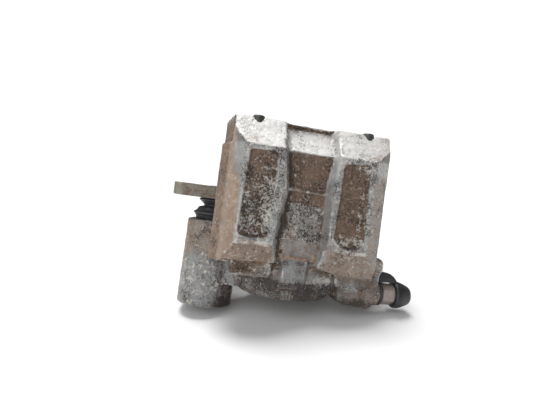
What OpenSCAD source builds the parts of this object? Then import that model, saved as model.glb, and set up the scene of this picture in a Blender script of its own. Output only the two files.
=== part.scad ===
// Single-piston floating brake caliper with its mounting bracket.
// Frame: the piston axis is Z, pointing outboard, and z = 0 is the middle plane of the brake disc.
// X is tangential to the disc and +Y points to the wheel's centre. Sizes are in millimetres.

/* [Bridge and claw] */
// Piston axis to the face of the two ribs
rib_face = 30; // [29:0.5:32]
// Half of the width over the outer ridges of the ribs
rib_ridge = 29.5; // [28:0.5:31]
// Half of the width of the casting
casting_half = 37; // [35:0.5:38]
// Height of the ribs' upper ridge over the disc's middle plane
rib_top = 13.4; // [13:0.2:15]
// Depth of the ribs' lower ridge under the disc's middle plane
rib_bottom = 28.3; // [26:0.5:30]
// Depth of the valley between the ribs
valley_depth = 4; // [3:0.5:4.5]
// Depth of the shallow pocket in each rib
pocket_depth = 1.3; // [0.8:0.1:2]
// Height of the claw's back
claw_top = 26.6; // [24:0.2:28]
// Height of the claw's face that presses the outer pad
claw_face = 13; // [12.9:0.1:13.2]
// Reach of the claw's fingers past the piston axis
claw_reach = 18; // [15:0.5:20]
// Half of the width of the notch between the two fingers
notch_r = 9; // [7:0.5:10]

/* [Cylinder and bosses] */
// Bore of the cylinder
bore_d = 34; // [32:0.1:35]
// Outer radius of the cylinder
cylinder_r = 24; // [23.5:0.5:25]
// Depth of the closed end of the cylinder
cylinder_end = 53.5; // [53:0.5:55]
// Tangential distance of each slide pin from the piston axis
pin_x = 37; // [36:0.5:38]
// Distance of both slide pins from the piston axis towards the wheel's centre
pin_y = 6.5; // [5:0.5:8]
// Radius of the left, long pin boss
left_boss_r = 13.1; // [12:0.1:13.5]
// Depth of the left boss's closed end
left_boss_end = 63.8; // [60:0.2:65]
// Depth of both bosses' open ends
boss_mouth = 22.6; // [22:0.2:24]

/* [Bracket] */
// Thickness of the bracket plate
plate_t = 6; // [5:0.5:6]
// Left end of the bracket plate
plate_left = 58.4; // [54:0.2:60]
// Spacing of the two mounting holes
bolt_spacing = 62; // [56:1:64]
// Distance of the mounting holes' row from the piston axis
bolt_row = 39; // [38:0.5:40]
// Clearance hole for an M10 bolt
bolt_hole_d = 10.5; // [10:0.1:11]

/* [Pads] */
// Thickness of a pad's steel backing plate
backing_t = 4; // [3.5:0.1:4]
// Thickness left on each friction lining
lining_t = 4; // [2:0.5:4]
// Half of the width of a lining
lining_half = 24; // [22:0.5:25]

/* [Bleeder] */
// Distance of the bleeder's axis from the piston axis, outwards
bleeder_y = 18; // [17.5:0.5:18.5]
// Depth of the bleeder's axis
bleeder_z = 47; // [46.8:0.1:47.4]
// Width across flats of the bleeder's hexagon
bleeder_hex = 9; // [8:0.5:9]

/* [Hidden] */
$fn = 64;
far = 100;                                  // longer than anything that it cuts
cut = 0.5;                                  // how far a cutting solid runs past a face

// Casting
side_face_y = 25.3;                         // where the side chamfers meet the side faces
side_shift = 0.9;                           // the casting's front lies this far to the right
bridge_inner = 22.6;                        // inner face of the bridge, over the disc's edge
block_mouth = 14;                           // outboard face of the cylinder block
block_floor = 36.5;                         // inboard face of the cylinder block
side_draft = 1.4;                           // how much narrower the sides are at the front
side_depth = 6;                             // how far the side faces run past the piston axis
cheek_x = 39;                               // the bridge's thick ends, beside the disc's rim
cheek_inner = 11.5;
valley_top_w = 12.8;                        // half widths of the valley's hourglass outline
valley_mid_w = 10.4;
valley_low_w = 13.4;
valley_lean = 1.9;                          // how much the right side's lower end leans inwards
valley_taper = 0.2;                         // part of its width that the valley loses to its floor
slope_angle = 34;                           // the ribs' top slopes lean back by this angle
bore_r = bore_d / 2;
bore_end = 48;                              // bottom of the bore
seal_groove_r = bore_r + 2.6;
seal_z = 25;                                // lower edges of the two grooves and their heights
seal_h = 3.4;
dust_z = 18.6;
dust_h = 2.6;
right_boss_r = 9.5;
right_boss_end = 45;
pin_r = 4.5;
pin_gap = 0.05;                             // running clearance of the pins and the piston
boot_room_r = 11.3;                         // room round a boot's widest fold
bush_r = 6.2;
bush_h = 14;
port_z = 44.5;                              // hose port on the cylinder's inner side
port_face = 31;
port_r = 4.45;
port_depth = 10;
foot_end = 40.5;                            // lower end of the right rib's foot
boss_x0 = 24;                               // bleeder boss
boss_x1 = 41.2;
seat_x = 42.4;
boss_front = 23;
boss_back = 6;
boss_low = 53.6;
boss_high = 30;
thread_r = 3.5;
thread_start = 29;                          // inner end of the bleeder's thread
cone_l = 2.4;                               // length of the cone seat under it

// Pads: every layer is stacked outwards from the linings' faces
gap_half = 4.5;                             // each lining's face from the disc's middle plane
backing_near = gap_half + lining_t;
backing_far = backing_near + backing_t;
shim_t = 0.5;
pad_top = 16;                               // the pads' edges, outwards and inwards
pad_low = 16;
backing_half = 28.1;
pad_pin_xs = [-24.8, 27.4];                 // the two pad pins
pad_pin_y = 19.9;
pad_pin_r = 2.2;
pad_pin_head_r = 2.7;
pad_pin_head_z = 20;                        // underside of the pins' heads
pad_pin_end = 42;
ear_r = 3.6;
pip_x = 17;
pip_y = 6;
pip_r = 3;
pip_h = 3;

// Bracket
plate_face = plate_t;                       // outboard face, inboard of the disc
plate_back = 2 * plate_t;
arm_inner = 28.9;
arm_front = 5;
throat = 27;
web_end = 50;
web_half = 46.5;
clip_t = 0.5;

// Bleeder
neck_r = 3.3;
hex_x0 = 44;
hex_x1 = 50.4;
nipple_end = 57.6;
cap_x0 = 50.5;
cap_end = 59;

// A closed outline whose corners are rounded
module rounded(r) {
    offset(r = r, $fn = 24) offset(delta = -r) children();
}

// Extrudes an outline drawn in tangential X and height Z from depth y0 to depth y1
module along_y(y0, y1) {
    translate([0, y1, 0]) rotate([90, 0, 0]) linear_extrude(y1 - y0) children();
}

// Extrudes an outline drawn in depth Y and height Z over x0 to x1
module along_x(x0, x1) {
    translate([x0, 0, 0]) rotate([90, 0, 90]) linear_extrude(x1 - x0) children();
}

// Extrudes an outline drawn in X and Y from z0 to z1
module along_z(z0, z1) {
    translate([0, 0, z0]) linear_extrude(z1 - z0) children();
}

// A cylinder along Z at (x, y) from z0 to z1
module post(x, y, z0, z1, r) {
    translate([x, y, z0]) cylinder(h = z1 - z0, r = r);
}

// A cylinder along X on the bleeder's axis
module bleeder_rod(x0, x1, r, r_end = undef) {
    translate([x0, -bleeder_y, -bleeder_z]) rotate([0, 90, 0])
        cylinder(h = x1 - x0, r1 = r, r2 = is_undef(r_end) ? r : r_end);
}

// Side view of the casting, a C over the disc. The front face starts at height low_break and
// falls back to low_front under it. Above the ridge it slopes back to back_edge at height top.
module c_profile(front, low_break, low_front, back_edge, top) {
    polygon([
        [-front, low_break], [-front, rib_top],
        [-back_edge - 3, top - 5.2], [-back_edge, top],
        [claw_reach, top], [claw_reach, claw_face],
        [-bridge_inner, claw_face], [-bridge_inner, -block_mouth],
        [cylinder_r, -block_mouth], [cylinder_r, -block_floor],
        [-low_front, -block_floor]
    ]);
}

// View of the casting along the piston axis, without the cylinder
module casting_plan() {
    polygon([
        [-rib_ridge, -rib_face], [rib_ridge, -rib_face],
        [casting_half - side_draft + 2 * side_shift, -side_face_y],
        [casting_half + side_shift, side_depth], [24, claw_reach], [-24, claw_reach],
        [-casting_half, side_depth], [-casting_half + side_draft + 0.4, -side_face_y]
    ]);
}

// The valley's hourglass outline as it is at the rib faces, wider at its two ends
module valley_outline() {
    polygon([
        [valley_top_w, rib_top + 0.5], [valley_top_w, rib_top - 1], [valley_mid_w, -2],
        [valley_low_w - valley_lean, -14], [valley_low_w - valley_lean, -rib_bottom - 15],
        [-valley_low_w, -rib_bottom - 15], [-valley_low_w, -rib_bottom + 4],
        [-valley_mid_w, -4], [-valley_top_w, rib_top - 1], [-valley_top_w, rib_top + 0.5]
    ]);
}

// A cut from a rib's face into the valley, narrowing on the way in
module valley_cut() {
    rotate([-90, 0, 0]) mirror([0, 1, 0])
        linear_extrude(2 * valley_depth, scale = [1 - 2 * valley_taper, 1], slices = 1)
            children();
}

// The two ribs stand proud of the bridge. The valley between them narrows towards its floor, and
// runs on up the slope over the ridges.
module ribs() {
    difference() {
        along_x(-casting_half - 2, casting_half + 2)
            c_profile(rib_face, -rib_bottom, 25.5, 21.5, claw_top);
        translate([0, -rib_face, 0]) valley_cut() valley_outline();
        translate([0, -rib_face, rib_top]) rotate([-slope_angle, 0, 0])
            translate([0, -1, 0]) valley_cut()
                translate([-valley_top_w - 0.4, -1]) square([2 * valley_top_w + 0.8, 22]);
    }
}

// Bridge, claw and cylinder block, bounded by the plan outline and hollowed round the pins' boots
module bridge_and_claw() {
    difference() {
        intersection() {
            union() {
                ribs();
                along_x(-valley_low_w - 1, valley_low_w + 1)
                    c_profile(rib_face - valley_depth, -25.6, 24.2, 18, claw_top - 1.5);
            }
            along_z(-far, far) casting_plan();
        }
        for (side = [-1, 1])
            post(side * pin_x, pin_y, -boss_mouth, 0, boot_room_r);
    }
}

// Thick ends of the bridge, which reach further in than its middle because the disc is round
module cheeks() {
    for (side = [-1, 1])
        along_z(-block_floor - 1.5, claw_face + 0.5)
            polygon([[side * 33, -23.5], [side * (casting_half - 0.5), -23.5],
                     [side * cheek_x, -19], [side * cheek_x, -cheek_inner],
                     [side * 30.5, -cheek_inner], [side * 29.5, -15], [side * 29.5, -22]]);
}

// Shallow pockets in the faces of the ribs. The right one is wider at its foot.
module pockets() {
    along_y(-rib_face - cut, -rib_face + pocket_depth)
        rounded(2.2)
            polygon([[-15.4, 12], [-27.8, 11.7], [-29.2, -24.2], [-26.5, -25.8], [-16, -25.6]]);
    along_y(-rib_face - cut, -rib_face + pocket_depth)
        rounded(2.2)
            polygon([[14.6, 10.6], [27, 12], [28.2, -24.2], [24, -26.4], [18, -26.4], [13.7, -23]]);
}

// The cylinder with its closed end and the narrow upright flat on its outer side
module cylinder_housing() {
    post(0, 0, -cylinder_end + 3, -block_mouth, cylinder_r);
    translate([0, 0, -cylinder_end]) cylinder(h = 3, r1 = cylinder_r - 2.2, r2 = cylinder_r);
    along_z(-cylinder_end + 6, -block_floor + 3)
        polygon([[-6.5, -25], [4.5, -25], [6.5, -20], [-8.5, -20]]);
}

// Bosses that slide on the two pins, each tied to the cylinder by a web
module pin_bosses() {
    post(-pin_x, pin_y, -left_boss_end, -boss_mouth, left_boss_r);
    post(-pin_x, pin_y, -boss_mouth - 0.1, -boss_mouth + 2.4, 7);
    along_z(-cylinder_end + 1.5, -boss_mouth - 1)
        polygon([[-pin_x, -3], [-10, -12], [-10, 16], [-pin_x, 16]]);
    post(pin_x, pin_y, -right_boss_end, -boss_mouth, right_boss_r);
    post(pin_x, pin_y, -boss_mouth - 0.1, -boss_mouth + 2.4, 7);
    along_z(-right_boss_end + 2, -boss_mouth - 1)
        polygon([[pin_x, -1], [10, -8], [10, 14], [pin_x, 14]]);
}

// Shoulder under the left rib that the left pad pin screws into
module pad_pin_shoulder() {
    along_z(-43.5, -block_floor + 1)
        rounded(1.5)
            polygon([[-29.5, -23.4], [-11.5, -24.4], [-8, -10], [-30, -10]]);
}

// Shallow recess in the shoulder's outer side
module shoulder_recess() {
    along_y(-far, -22.7)
        rounded(1.4)
            polygon([[-27, -41.2], [-27, -37.8], [-19.4, -37.8], [-19.4, -41.2]]);
}

// The right rib's foot, which runs down to the bleeder boss
module right_foot() {
    intersection() {
        along_x(9.5, casting_half)
            polygon([[-rib_face, -rib_bottom], [-23.2, -foot_end], [-14, -foot_end],
                     [-14, -rib_bottom]]);
        along_z(-far, far) casting_plan();
        along_y(-far, far)
            polygon([[9.5, -rib_bottom], [9.5, -37.6], [16, -38.6], [21, -foot_end],
                     [far, -foot_end], [far, -rib_bottom]]);
    }
}

// Boss that carries the bleeder screw, and the raised ring that the screw sits against
module bleeder_boss() {
    intersection() {
        along_x(boss_x0 - 8, boss_x1 + 2)
            rounded(3)
                polygon([[-boss_front, -boss_low - 1], [-boss_front, -boss_high],
                         [-boss_back, -boss_high], [-boss_back, -boss_low - 1]]);
        along_y(-far, far)
            rounded(2)
                polygon([[boss_x0 - 2, -boss_low + 1.2], [boss_x0 - 8, -boss_high],
                         [boss_x1 + 1.2, -boss_high], [boss_x1 + 1, -35.6], [boss_x1 - 0.2, -37.6],
                         [boss_x1 - 1, -48], [boss_x1 - 3, -boss_low - 0.8]]);
    }
    along_z(-boss_low + 4, -boss_high)
        polygon([[8, -20], [boss_x0 + 4, -20], [boss_x0 + 4, -6], [8, -6]]);
    bleeder_rod(boss_x1 - 6, seat_x, 5.6);
}

// Boss for the brake hose, square to the cylinder
module hose_boss() {
    translate([0, cylinder_r - 6, -port_z]) rotate([-90, 0, 0])
        cylinder(h = port_face - cylinder_r + 6, r = 8);
}

// The bore, its two seal grooves and the lead-in at its mouth
module cylinder_bore() {
    post(0, 0, -bore_end, -block_mouth + cut, bore_r);
    post(0, 0, -seal_z, -seal_z + seal_h, seal_groove_r);
    post(0, 0, -dust_z, -dust_z + dust_h, seal_groove_r - 0.4);
}

// Slide pin bores, pad pin holes with room for the pads' ears, and the outer pad's locating holes
module pin_bores() {
    post(-pin_x, pin_y, -58, 0, pin_r + pin_gap);
    post(pin_x, pin_y, -right_boss_end + 2.5, 0, pin_r + pin_gap);
    post(pin_x, pin_y, -boss_mouth - bush_h + 2.4, 0, bush_r);
    for (x = pad_pin_xs) {
        post(x, -pad_pin_y, -pad_pin_end, far, pad_pin_r);
        post(x, -pad_pin_y, pad_pin_head_z, far, pad_pin_head_r);
        post(x, -pad_pin_y, -block_mouth, claw_face, ear_r + 0.4);
    }
    for (side = [-1, 1])
        post(side * pip_x, pip_y, 0, claw_face + pip_h + 0.5, pip_r + 0.1);
}

// Hose port, bleeder thread and the drilled ways to the end of the bore
module fluid_ways() {
    translate([0, port_face + cut, -port_z]) rotate([90, 0, 0])
        cylinder(h = port_depth + cut, r = port_r);
    translate([0, port_face - port_depth + 1, -bore_end + 1.4]) rotate([90, 0, 0])
        cylinder(h = 8, r = 1.4);
    bleeder_rod(thread_start, seat_x + cut, thread_r);
    bleeder_rod(thread_start - cone_l, thread_start, 1.5, thread_r);
    translate([thread_start - 2, -bleeder_y, -bleeder_z])
        rotate([0, 0, atan2(bleeder_y, 2 - thread_start)])
            rotate([0, 90, 0]) cylinder(h = 16.5, r = 1);
}

// The notch between the claw's two fingers
module finger_notch() {
    post(0, -3, claw_face - cut, far, notch_r);
    along_z(claw_face - cut, far)
        polygon([[-notch_r, -3], [notch_r, -3], [notch_r + 1, far], [-notch_r - 1, far]]);
}

module caliper_body() {
    color([0.58, 0.55, 0.51])
    difference() {
        union() {
            bridge_and_claw();
            cheeks();
            cylinder_housing();
            pin_bosses();
            pad_pin_shoulder();
            right_foot();
            bleeder_boss();
            hose_boss();
        }
        pockets();
        shoulder_recess();
        finger_notch();
        cylinder_bore();
        pin_bores();
        fluid_ways();
    }
}

module piston() {
    color([0.75, 0.75, 0.76])
    difference() {
        post(0, 0, -44.2, -13.2, bore_r - pin_gap);
        post(0, 0, -39, -13.2 + cut, bore_r - 4);
        difference() {
            post(0, 0, -17.4, -15.4, bore_r + 1);
            post(0, 0, -18, -15, bore_r - 1.3);
        }
    }
}

// A flat ring on the piston axis
module ring(z0, h, r_in, r_out) {
    difference() {
        post(0, 0, z0, z0 + h, r_out);
        post(0, 0, z0 - cut, z0 + h + cut, r_in);
    }
}

module piston_seal() {
    color([0.12, 0.12, 0.12]) ring(-seal_z, seal_h, bore_r, seal_groove_r);
}

module dust_seal() {
    color([0.12, 0.12, 0.12]) ring(-dust_z, dust_h, bore_r, seal_groove_r - 0.4);
}

// Steel plate: two arms that hold the pins and guide the inner pad, and a web with the bolt holes
module bracket_plate() {
    color([0.49, 0.44, 0.40])
    difference() {
        along_z(-plate_back, -plate_face)
            difference() {
                rounded(4)
                    polygon([[-plate_left, -arm_front], [web_half, -arm_front],
                             [web_half, web_end], [-web_half, web_end], [-plate_left, 24]]);
                polygon([[-arm_inner, -far], [arm_inner, -far],
                         [arm_inner, throat], [-arm_inner, throat]]);
            }
        for (side = [-1, 1]) {
            post(side * pin_x, pin_y, -far, far, 4);
            post(side * bolt_spacing / 2, bolt_row, -far, far, bolt_hole_d / 2);
        }
    }
}

// Guide pin: peened head over the plate, shoulder under it, and the long running part
module slide_pin(side, end) {
    color([0.62, 0.61, 0.59])
    translate([side * pin_x, pin_y, 0]) {
        translate([0, 0, -plate_face]) cylinder(h = 0.9, r1 = 5.4, r2 = 4.2);
        post(0, 0, -plate_back - 0.1, -plate_face + 0.1, 4);
        post(0, 0, -plate_back - 2.6, -plate_back, 6.2);
        post(0, 0, -end + 1, -plate_back - 2.5, pin_r);
        translate([0, 0, -end]) cylinder(h = 1, r1 = pin_r - 1, r2 = pin_r);
    }
}

module slide_pin_left() {
    slide_pin(-1, 50);
}

module slide_pin_right() {
    slide_pin(1, 38.5);
}

// Rubber bellows between the plate and the boss: a collar, a waist and one wide fold
module pin_boot(side) {
    color([0.17, 0.16, 0.17])
    translate([side * pin_x, pin_y, 0])
        rotate_extrude()
            polygon([[6.3, -12], [8.2, -12], [8.4, -13.2], [7.7, -14.8], [8.2, -16],
                     [10.2, -17.6], [10.7, -19.4], [9.6, -21.6], [8.8, -22.5],
                     [7.2, -22.5], [7.2, -19.6], [8.6, -18.8], [8.4, -18], [6.9, -16.4],
                     [6.3, -15]]);
}

module pin_boot_left() {
    pin_boot(-1);
}

module pin_boot_right() {
    pin_boot(1);
}

module pin_bush() {
    color([0.13, 0.13, 0.13])
    translate([pin_x, pin_y, 0])
        ring(-boss_mouth - bush_h + 2.4, bush_h, pin_r + pin_gap, bush_r);
}

// A steel backing plate with an ear for each pad pin
module backing(z0, z1) {
    difference() {
        union() {
            along_z(z0, z1)
                rounded(2)
                    polygon([[-backing_half, -8], [-22, -pad_top], [22, -pad_top],
                             [backing_half, -8], [backing_half, 12], [23, pad_low],
                             [-23, pad_low], [-backing_half, 12]]);
            for (x = pad_pin_xs) {
                post(x, -pad_pin_y, z0, z1, ear_r);
                along_z(z0, z1)
                    polygon([[x - sign(x) * ear_r, -pad_pin_y], [x + sign(x) * ear_r, -pad_pin_y],
                             [sign(x) * (backing_half + 0.7), -16.5], [sign(x) * backing_half, -8],
                             [sign(x) * 16, -9], [sign(x) * 19, -15]]);
            }
        }
        for (x = pad_pin_xs)
            post(x, -pad_pin_y, -far, far, pad_pin_r + 0.1);
    }
}

// Outline of a friction lining, its four corners cut off
module lining_outline() {
    polygon([[-lining_half, -7], [-lining_half + 6, -13], [lining_half - 6, -13],
             [lining_half, -7], [lining_half, 11], [lining_half - 5, 15],
             [-lining_half + 5, 15], [-lining_half, 11]]);
}

module inner_pad_backing() {
    color([0.30, 0.28, 0.27]) backing(-backing_far, -backing_near);
}

module inner_pad_lining() {
    color([0.36, 0.34, 0.32])
    difference() {
        along_z(-backing_near, -gap_half) lining_outline();
        along_x(-0.8, 0.8)
            polygon([[-far, -gap_half - 2.5], [far, -gap_half - 2.5],
                     [far, 0], [-far, 0]]);
    }
}

module inner_pad_shim() {
    color([0.66, 0.66, 0.66])
    along_z(-backing_far - shim_t, -backing_far)
        rounded(2) translate([-22, -15]) square([44, 29]);
}

module outer_pad_backing() {
    color([0.30, 0.28, 0.27]) {
        backing(backing_near, backing_far);
        for (side = [-1, 1])
            post(side * pip_x, pip_y, backing_far - 0.1, claw_face + pip_h, pip_r);
    }
}

module outer_pad_lining() {
    color([0.36, 0.34, 0.32])
    difference() {
        along_z(gap_half, backing_near) lining_outline();
        along_x(-0.8, 0.8)
            polygon([[-far, 0], [far, 0], [far, gap_half + 2.5], [-far, gap_half + 2.5]]);
    }
}

module outer_pad_shim() {
    color([0.66, 0.66, 0.66])
    difference() {
        along_z(backing_far, backing_far + shim_t)
            rounded(2) translate([-22, -15]) square([44, 29]);
        for (side = [-1, 1])
            post(side * pip_x, pip_y, 0, far, pip_r + 0.2);
    }
}

// The two pins that the pads slide on, screwed in from the claw's back, with sockets in their heads
module pad_pins() {
    color([0.30, 0.26, 0.24])
    for (x = pad_pin_xs)
        difference() {
            union() {
                post(x, -pad_pin_y, -pad_pin_end, pad_pin_head_z + 0.1, pad_pin_r);
                post(x, -pad_pin_y, pad_pin_head_z, claw_top + 0.8, pad_pin_head_r);
            }
            translate([x, -pad_pin_y, claw_top - 1.5]) cylinder(h = 3, r = 1.9, $fn = 6);
        }
}

// Bent strip under the bridge whose two legs press on the pads' outer edges
module pad_spring() {
    color([0.70, 0.69, 0.67])
    along_z(-12, 12)
        polygon([[-17, -16.4], [-8.5, -22.6], [8.5, -22.6], [17, -16.4], [16.7, -16.2],
                 [15.2, -17], [8, -22.1], [-8, -22.1], [-15.2, -17], [-16.7, -16.2]]);
}

// Thin channel clipped over an arm's edge, which the inner pad's end slides on
module pad_clip(side) {
    inner = side * (arm_inner - clip_t);
    outer = side * (arm_inner + 1.5);
    edge = side * arm_inner;
    color([0.72, 0.72, 0.72])
    along_y(-4.8, 0)
        polygon([[outer, -plate_face], [outer, -plate_face + clip_t],
                 [inner, -plate_face + clip_t], [inner, -plate_back - clip_t],
                 [outer, -plate_back - clip_t], [outer, -plate_back],
                 [edge, -plate_back], [edge, -plate_face]]);
}

module pad_clip_left() {
    pad_clip(-1);
}

module pad_clip_right() {
    pad_clip(1);
}

// Bleeder screw: cone seat, thread, hexagon and hollow nipple
module bleeder_screw() {
    color([0.52, 0.49, 0.48])
    difference() {
        union() {
            bleeder_rod(thread_start - cone_l + 0.5, thread_start + 0.1, 1.6, thread_r - 0.3);
            bleeder_rod(thread_start, seat_x, thread_r - pin_gap);
            bleeder_rod(seat_x - 0.1, hex_x0 + 0.1, neck_r);
            translate([hex_x0, -bleeder_y, -bleeder_z]) rotate([0, 90, 0])
                cylinder(h = hex_x1 - hex_x0, r = bleeder_hex / sqrt(3), $fn = 6);
            bleeder_rod(hex_x1 - 0.1, 54.6, 2.7);
            bleeder_rod(54.6, nipple_end, 3.5, 2.6);
        }
        bleeder_rod(thread_start + 1.5, nipple_end + cut, 1.2);
        translate([thread_start + 2.5, -bleeder_y, -bleeder_z])
            cylinder(h = 10, r = 0.9, center = true);
    }
}

// Rubber cap over the nipple: a rolled skirt, a tapering crown
module bleeder_cap() {
    color([0.16, 0.15, 0.16])
    difference() {
        union() {
            bleeder_rod(cap_x0, cap_x0 + 1.6, 6.1, 6.4);
            bleeder_rod(cap_x0 + 1.6, cap_x0 + 3.4, 6.4, 6.1);
            bleeder_rod(cap_x0 + 3.4, cap_end - 0.8, 5.9, 4.2);
            bleeder_rod(cap_end - 0.8, cap_end, 4.2, 3.5);
        }
        bleeder_rod(cap_x0 - cut, nipple_end + 0.4, 3.65);
    }
}

// Ring round the screw's neck, and the band that runs over the hexagon to the cap
module bleeder_strap() {
    color([0.14, 0.14, 0.15]) {
        difference() {
            bleeder_rod(seat_x, hex_x0, 5.7);
            bleeder_rod(seat_x - cut, hex_x0 + cut, neck_r + 0.2);
        }
        along_y(-bleeder_y - 1.3, -bleeder_y + 1.3)
            rounded(0.6)
                polygon([[seat_x, -42], [seat_x, -37.5], [44.6, -36.9], [47.5, -36.9], [50, -37.9],
                         [52.6, -39.6], [52.6, -40.3], [50.2, -40.3], [48.2, -41],
                         [hex_x0, -41.2], [hex_x0, -42]]);
    }
}

caliper_body();
piston();
piston_seal();
dust_seal();
bracket_plate();
slide_pin_left();
slide_pin_right();
pin_boot_left();
pin_boot_right();
pin_bush();
inner_pad_backing();
inner_pad_lining();
inner_pad_shim();
outer_pad_backing();
outer_pad_lining();
outer_pad_shim();
pad_pins();
pad_spring();
pad_clip_left();
pad_clip_right();
bleeder_screw();
bleeder_cap();
bleeder_strap();
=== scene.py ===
"""Weathered floating brake caliper, standing on its inboard end on a white table."""
import math

import bmesh
import bpy
import numpy as np
from mathutils import Matrix, Vector


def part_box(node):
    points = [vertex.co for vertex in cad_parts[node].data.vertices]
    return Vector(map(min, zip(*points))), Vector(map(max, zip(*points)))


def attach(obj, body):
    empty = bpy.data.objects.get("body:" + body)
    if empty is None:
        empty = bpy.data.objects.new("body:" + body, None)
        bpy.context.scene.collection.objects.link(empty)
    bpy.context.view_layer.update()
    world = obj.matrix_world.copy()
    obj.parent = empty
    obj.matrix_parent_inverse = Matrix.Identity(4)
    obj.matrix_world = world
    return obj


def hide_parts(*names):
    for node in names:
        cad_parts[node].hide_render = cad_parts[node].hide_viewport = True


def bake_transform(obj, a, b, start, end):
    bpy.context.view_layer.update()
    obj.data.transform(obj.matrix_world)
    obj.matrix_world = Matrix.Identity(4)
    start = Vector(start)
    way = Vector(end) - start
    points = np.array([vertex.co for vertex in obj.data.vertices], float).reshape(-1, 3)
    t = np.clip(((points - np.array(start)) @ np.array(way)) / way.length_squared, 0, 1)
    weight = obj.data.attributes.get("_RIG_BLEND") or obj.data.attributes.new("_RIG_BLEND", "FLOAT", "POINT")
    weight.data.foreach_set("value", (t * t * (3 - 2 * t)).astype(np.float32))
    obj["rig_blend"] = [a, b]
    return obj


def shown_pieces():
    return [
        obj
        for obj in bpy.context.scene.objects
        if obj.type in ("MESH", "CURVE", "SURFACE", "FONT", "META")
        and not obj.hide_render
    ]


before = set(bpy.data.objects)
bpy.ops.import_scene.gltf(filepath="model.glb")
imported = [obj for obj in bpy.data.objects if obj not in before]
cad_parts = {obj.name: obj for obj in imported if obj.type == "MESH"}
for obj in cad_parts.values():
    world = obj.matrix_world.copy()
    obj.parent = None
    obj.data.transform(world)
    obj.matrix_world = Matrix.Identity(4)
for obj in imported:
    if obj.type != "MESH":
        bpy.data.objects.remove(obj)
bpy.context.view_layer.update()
MM = 0.001

# ------------ places taken from the frame
# All of these are in millimetres, in the row frame: Z is the piston axis, -Y faces the camera.


def low(node):
    """Lowest corner of a CAD node's box."""
    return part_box(node)[0] / MM


def high(node):
    """Highest corner of a CAD node's box."""
    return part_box(node)[1] / MM


def middle(node):
    return (low(node) + high(node)) / 2


RIB_FACE = low("caliper_body").y
CLAW_TOP = high("caliper_body").z

# Slide pins, their bores in the casting, and the bracket's bolt holes
PIN_X = {side: middle("slide_pin_" + side).x for side in ("left", "right")}
PIN_Y = middle("slide_pin_left").y
PIN_AT = {side: (x, PIN_Y, 0) for side, x in PIN_X.items()}
PIN_BORE_R = 4.55
PIN_BORE_END = {"left": -58, "right": -42.5}
BUSH_R, BUSH_END = 6.2, -34.2
PLATE_LOW, PLATE_TOP = low("bracket_plate").z, high("bracket_plate").z
PLATE_PIN_R = 4
BOLTS = [(side * 31, 39, 0) for side in (-1, 1)]
BOLT_R = 5.25

# Cylinder: its bore's end and mouth, and each seal's groove as its lower end, upper end and radius
BORE_R = high("piston").x + 0.05
BORE_END, BORE_MOUTH = -48, -14
SEAL_GROOVE = (-25, -21.6, BORE_R + 2.6)
DUST_GROOVE = (-18.6, -16, BORE_R + 2.2)
HOSE_PORT_AT, HOSE_PORT_R = (0, 0, -44.5), 4.45
HOSE_PORT_FLOOR, HOSE_PORT_FACE = 21, 31

# Bleeder: axis, the boss's flat, the hexagon's ends and the thread
BLEEDER_Y, BLEEDER_Z = middle("bleeder_screw").yz
BLEEDER_AT = (0, BLEEDER_Y, BLEEDER_Z)
SEAT_X = low("bleeder_strap").x
HEX_X0, HEX_X1 = low("bleeder_cap").x - 6.5, low("bleeder_cap").x - 0.1
HEX_FLATS = 9
THREAD_X, THREAD_R = 29, 3.5
NECK_R = 3.3

# Pad pins with their heads, and the pips that hold the outer pad in the claw
PAD_PIN_R, PAD_PIN_HEAD_R, PAD_PIN_HEAD_Z = 2.2, 2.7, 20
PAD_PIN_X = {"left": low("pad_pins").x + PAD_PIN_HEAD_R, "right": high("pad_pins").x - PAD_PIN_HEAD_R}
PAD_PIN_Y = middle("pad_pins").y
PAD_PIN_HOLE_END = -42
PIP_X, PIP_Y, PIP_HOLE_R = 17, 6, 3.1
CLAW_FACE = 13

# ------------ mesh tools


def place(name, data):
    """A new object in the scene, for a mesh, a camera or a light."""
    item = bpy.data.objects.new(name, data)
    bpy.context.scene.collection.objects.link(item)
    return item


def from_faces(name, points, faces):
    """A piece from points in millimetres."""
    mesh = bpy.data.meshes.new(name)
    mesh.from_pydata([[c * MM for c in p] for p in points], [], faces)
    bm = bmesh.new()
    bm.from_mesh(mesh)
    bmesh.ops.remove_doubles(bm, verts=bm.verts, dist=1e-7)
    bmesh.ops.recalc_face_normals(bm, faces=bm.faces)
    bm.to_mesh(mesh)
    bm.free()
    return place(name, mesh)


def from_node(node, name):
    """A welded copy of a CAD node's mesh, its flat faces merged."""
    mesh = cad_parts[node].data.copy()
    mesh.materials.clear()
    bm = bmesh.new()
    bm.from_mesh(mesh)
    bmesh.ops.remove_doubles(bm, verts=bm.verts, dist=2e-6)
    bmesh.ops.dissolve_limit(bm, angle_limit=math.radians(1), verts=bm.verts, edges=bm.edges)
    bm.to_mesh(mesh)
    bm.free()
    for attribute in list(mesh.attributes):
        if attribute.name in ("custom_normal", "sharp_face", "sharp_edge"):
            mesh.attributes.remove(attribute)
    return place(name, mesh)


def modify(piece, kind, **settings):
    """Runs one modifier and keeps its result as the piece's mesh."""
    modifier = piece.modifiers.new(kind.lower(), kind)
    for key, value in settings.items():
        setattr(modifier, key, value)
    depsgraph = bpy.context.evaluated_depsgraph_get()
    mesh = bpy.data.meshes.new_from_object(piece.evaluated_get(depsgraph), depsgraph=depsgraph)
    piece.modifiers.clear()
    old = piece.data
    piece.data = mesh
    bpy.data.meshes.remove(old)


def delete(*pieces):
    for piece in pieces:
        mesh = piece.data
        bpy.data.objects.remove(piece)
        bpy.data.meshes.remove(mesh)


def join(piece, others):
    """Adds the others' meshes to the piece's own."""
    bm = bmesh.new()
    bm.from_mesh(piece.data)
    for other in others:
        bm.from_mesh(other.data)
    bm.to_mesh(piece.data)
    bm.free()
    delete(*others)


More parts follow.
